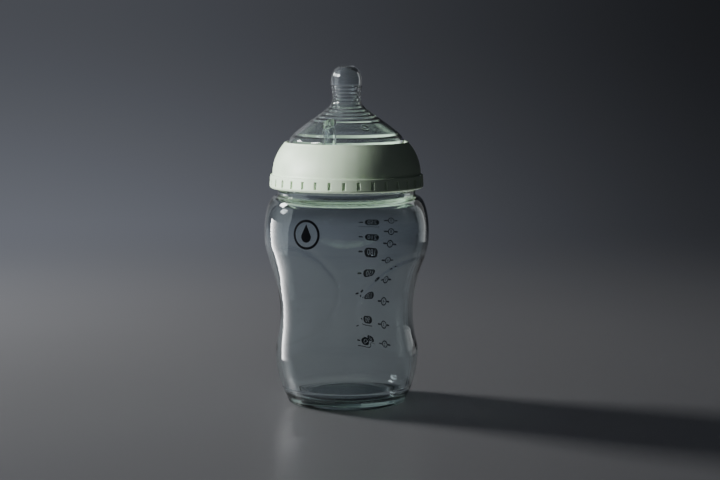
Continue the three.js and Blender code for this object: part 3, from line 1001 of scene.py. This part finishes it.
def silicone_material():
    """Clear liquid silicone rubber with a slightly soft surface."""
    material, nodes, links, surface = new_material("clear_silicone")
    surface.inputs["Base Color"].default_value = (0.94, 0.985, 1.0, 1)
    surface.inputs["Transmission Weight"].default_value = 0.975
    surface.inputs["Sheen Weight"].default_value = 0.08
    surface.inputs["Sheen Roughness"].default_value = 0.3
    surface.inputs["IOR"].default_value = 1.41
    links.new(ramp(nodes, links, noise(nodes, links, 120), 0.02, 0.07), surface.inputs["Roughness"])
    bump(nodes, links, noise(nodes, links, 400, 3), 0.05, 0.0002, surface)
    absorb(nodes, links, (0.8, 0.86, 0.9, 1), 30)
    return material


def ink_material():
    """Fired blue-black ink with a fine grain."""
    material, nodes, links, surface = new_material("fired_ink")
    grain = noise(nodes, links, 2500, 2)
    links.new(mixed_colour(nodes, links, grain, (0.004, 0.006, 0.01), (0.012, 0.016, 0.026)),
              surface.inputs["Base Color"])
    links.new(ramp(nodes, links, grain, 0.35, 0.6), surface.inputs["Roughness"])
    bump(nodes, links, grain, 0.2, 0.00003, surface)
    return material


# ---------------------------------------------------------------- assembly

def assign(obj, material, body):
    obj.data.materials.clear()
    obj.data.materials.append(material)
    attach(obj, body)


glass = glass_bottle()
assign(glass, glass_material(), "bottle")
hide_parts("glass_bottle")

ring = screw_ring()
assign(ring, plastic_material(), "ring_body")
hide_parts("screw_ring")

moulding = teat()
assign(moulding, silicone_material(), "teat_body")
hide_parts("teat")

ink = ink_material()
assign(printed_scale(), ink, "bottle")
assign(front_mark(), ink, "bottle")


# ---------------------------------------------------------------- stage

CAMERA_AZIMUTH = 28
CAMERA_DISTANCE = 0.824
CAMERA_HEIGHT = 0.1685
CAMERA_PITCH = 6.35
CAMERA_SHIFT = 0.0063
CAMERA_LENS = 87.6
BACKDROP_TINT = (0.94, 1.0, 1.17)


def compass(azimuth):
    """Level direction from the bottle; 0 is towards -Y and 90 towards +X."""
    a = math.radians(azimuth)
    return Vector((math.sin(a), -math.cos(a), 0))


def add_camera():
    data = bpy.data.cameras.new("camera")
    data.lens = CAMERA_LENS
    data.sensor_width = 36
    data.clip_start = 0.01
    data.clip_end = 50
    camera = bpy.data.objects.new("camera", data)
    bpy.context.scene.collection.objects.link(camera)
    back = compass(CAMERA_AZIMUTH)
    right = compass(CAMERA_AZIMUTH + 90)
    pitch = math.radians(CAMERA_PITCH)
    camera.location = back * CAMERA_DISTANCE + right * CAMERA_SHIFT + Vector((0, 0, CAMERA_HEIGHT))
    forward = -back * math.cos(pitch) - Vector((0, 0, math.sin(pitch)))
    camera.rotation_euler = forward.to_track_quat("-Z", "Y").to_euler()
    bpy.context.scene.camera = camera


def collected(name, objects):
    collection = bpy.data.collections.new(name)
    for obj in objects:
        collection.objects.link(obj)
    return collection


def aim_at(light, receivers, blockers=None):
    """Lets a light reach only the receivers and, where blockers are given, be shaded only by them."""
    linking = light.light_linking
    linking.receiver_collection = collected(light.name + "_lights", receivers)
    if blockers:
        linking.blocker_collection = collected(light.name + "_blockers", blockers)


def fall_off(data):
    """Makes an area light brightest at one upright edge, fading to the other."""
    data.use_nodes = True
    nodes, links = data.node_tree.nodes, data.node_tree.links
    across = nodes.new("ShaderNodeSeparateXYZ")
    links.new(nodes.new("ShaderNodeNewGeometry").outputs["Parametric"], across.inputs["Vector"])
    mirrored = nodes.new("ShaderNodeMath")
    mirrored.operation = "SUBTRACT"
    mirrored.inputs[0].default_value = 1
    links.new(across.outputs["X"], mirrored.inputs[1])
    fade = nodes.new("ShaderNodeMath")
    fade.operation = "POWER"
    fade.inputs[1].default_value = 5
    links.new(mirrored.outputs["Value"], fade.inputs[0])
    links.new(fade.outputs["Value"], nodes["Emission"].inputs["Strength"])


def softbox(name, azimuth, elevation, distance, width, height, power, level=0.079):
    """A rectangular light that faces the bottle's axis at a level."""
    data = bpy.data.lights.new(name, "AREA")
    data.shape = "RECTANGLE"
    data.size = width
    data.size_y = height
    data.energy = power
    light = bpy.data.objects.new(name, data)
    bpy.context.scene.collection.objects.link(light)
    rise = math.radians(elevation)
    aim = Vector((0, 0, level))
    away = compass(azimuth) * math.cos(rise) + Vector((0, 0, math.sin(rise)))
    light.location = aim + away * distance
    light.rotation_euler = (-away).to_track_quat("-Z", "Y").to_euler()
    light.visible_camera = False
    return light


def backdrop_colour(nodes, links, direction):
    """Grey of the studio in a direction: lighter to the camera's left, darker to its right and above."""
    def along(axis, low, high, bottom, top):
        dot = nodes.new("ShaderNodeVectorMath")
        dot.operation = "DOT_PRODUCT"
        dot.inputs[1].default_value = axis
        links.new(direction, dot.inputs[0])
        span = nodes.new("ShaderNodeMapRange")
        span.interpolation_type = "SMOOTHSTEP"
        for socket, value in zip(("From Min", "From Max", "To Min", "To Max"), (low, high, bottom, top)):
            span.inputs[socket].default_value = value
        links.new(dot.outputs["Value"], span.inputs["Value"])
        return span.outputs["Result"]

    side = along(compass(CAMERA_AZIMUTH - 90), -0.25, 0.25, 0.03, 0.19)
    height = along((0, 0, 1), -0.18, 0.03, 1.0, 0.42)
    both = nodes.new("ShaderNodeMath")
    both.operation = "MULTIPLY"
    links.new(side, both.inputs[0])
    links.new(height, both.inputs[1])
    tint = nodes.new("ShaderNodeVectorMath")
    tint.operation = "SCALE"
    tint.inputs[0].default_value = BACKDROP_TINT
    links.new(both.outputs["Value"], tint.inputs["Scale"])
    return tint.outputs["Vector"]


def add_world():
    world = bpy.data.worlds.new("studio")
    world.use_nodes = True
    nodes, links = world.node_tree.nodes, world.node_tree.links
    direction = nodes.new("ShaderNodeTexCoord").outputs["Generated"]
    links.new(backdrop_colour(nodes, links, direction), nodes["Background"].inputs["Color"])
    bpy.context.scene.world = world


def floor_material():
    """Pale, slightly glossy table top, lit by the lamps near the bottle, that runs out into the backdrop as
    a painted glow.
    """
    material, nodes, links, surface = new_material("pale_floor")
    colour = mixed_colour(nodes, links, ramp(nodes, links, noise(nodes, links, 3, 2), 0, 1),
                          (0.40, 0.40, 0.41), (0.43, 0.43, 0.44))
    links.new(colour, surface.inputs["Base Color"])
    surface.inputs["Roughness"].default_value = 0.33
    geometry = nodes.new("ShaderNodeNewGeometry")
    outward = nodes.new("ShaderNodeVectorMath")
    outward.operation = "SCALE"
    outward.inputs["Scale"].default_value = -1
    links.new(geometry.outputs["Incoming"], outward.inputs[0])
    # Away from the bottle the floor is painted light: it glows with the backdrop's grey, lighter to the
    # camera's left, instead of being lit by the lamps.
    painted_backdrop_glow = nodes.new("ShaderNodeEmission")
    links.new(backdrop_colour(nodes, links, outward.outputs["Vector"]), painted_backdrop_glow.inputs["Color"])
    distance = nodes.new("ShaderNodeVectorMath")
    distance.operation = "LENGTH"
    links.new(geometry.outputs["Position"], distance.inputs[0])
    share = nodes.new("ShaderNodeMapRange")
    share.interpolation_type = "SMOOTHSTEP"
    share.inputs["From Min"].default_value = 0.15
    share.inputs["From Max"].default_value = 0.9
    links.new(distance.outputs["Value"], share.inputs["Value"])
    mix = nodes.new("ShaderNodeMixShader")
    links.new(share.outputs["Result"], mix.inputs["Fac"])
    links.new(surface.outputs["BSDF"], mix.inputs[1])
    links.new(painted_backdrop_glow.outputs["Emission"], mix.inputs[2])
    links.new(mix.outputs["Shader"], nodes["Material Output"].inputs["Surface"])
    return material


def add_floor():
    mesh = bpy.data.meshes.new("floor")
    reach = 6
    mesh.from_pydata([(-reach, -reach, 0), (reach, -reach, 0), (reach, reach, 0), (-reach, reach, 0)], [],
                     [(0, 1, 2, 3)])
    floor = bpy.data.objects.new("floor", mesh)
    bpy.context.scene.collection.objects.link(floor)
    mesh.materials.append(floor_material())


def add_lights():
    """A key light for the ring, and for the clear pieces the lights whose reflections draw their edges."""
    clear = (glass, moulding)
    softbox("window", CAMERA_AZIMUTH - 116, 26, 0.9, 0.2, 0.16, 4)
    strip = softbox("strip", CAMERA_AZIMUTH - 97, 0, 0.125, 0.087, 0.16, 1.16, level=0.012)
    aim_at(strip, clear, (glass, moulding, ring))
    fall_off(strip.data)
    strip.visible_transmission = False
    key = softbox("key", CAMERA_AZIMUTH - 78, 16, 0.9, 0.5, 0.4, 26)
    aim_at(key, (ring,), (ring,))
    glow = softbox("glow", CAMERA_AZIMUTH - 70, 30, 0.9, 0.25, 0.25, 8)
    aim_at(glow, (moulding,))
    under = softbox("under", CAMERA_AZIMUTH, -90, 0.05, 0.04, 0.04, 0.06, level=0.1)
    aim_at(under, (ring,), (ring,))
    under.visible_transmission = False
    under.visible_glossy = False
    for name, side, power in (("left_edge", -160, 0.03), ("right_edge", 135, 0.07)):
        aim_at(softbox(name, CAMERA_AZIMUTH + side, 8, 0.5, 0.2, 0.4, power), clear)


add_camera()
add_world()
add_floor()
add_lights()
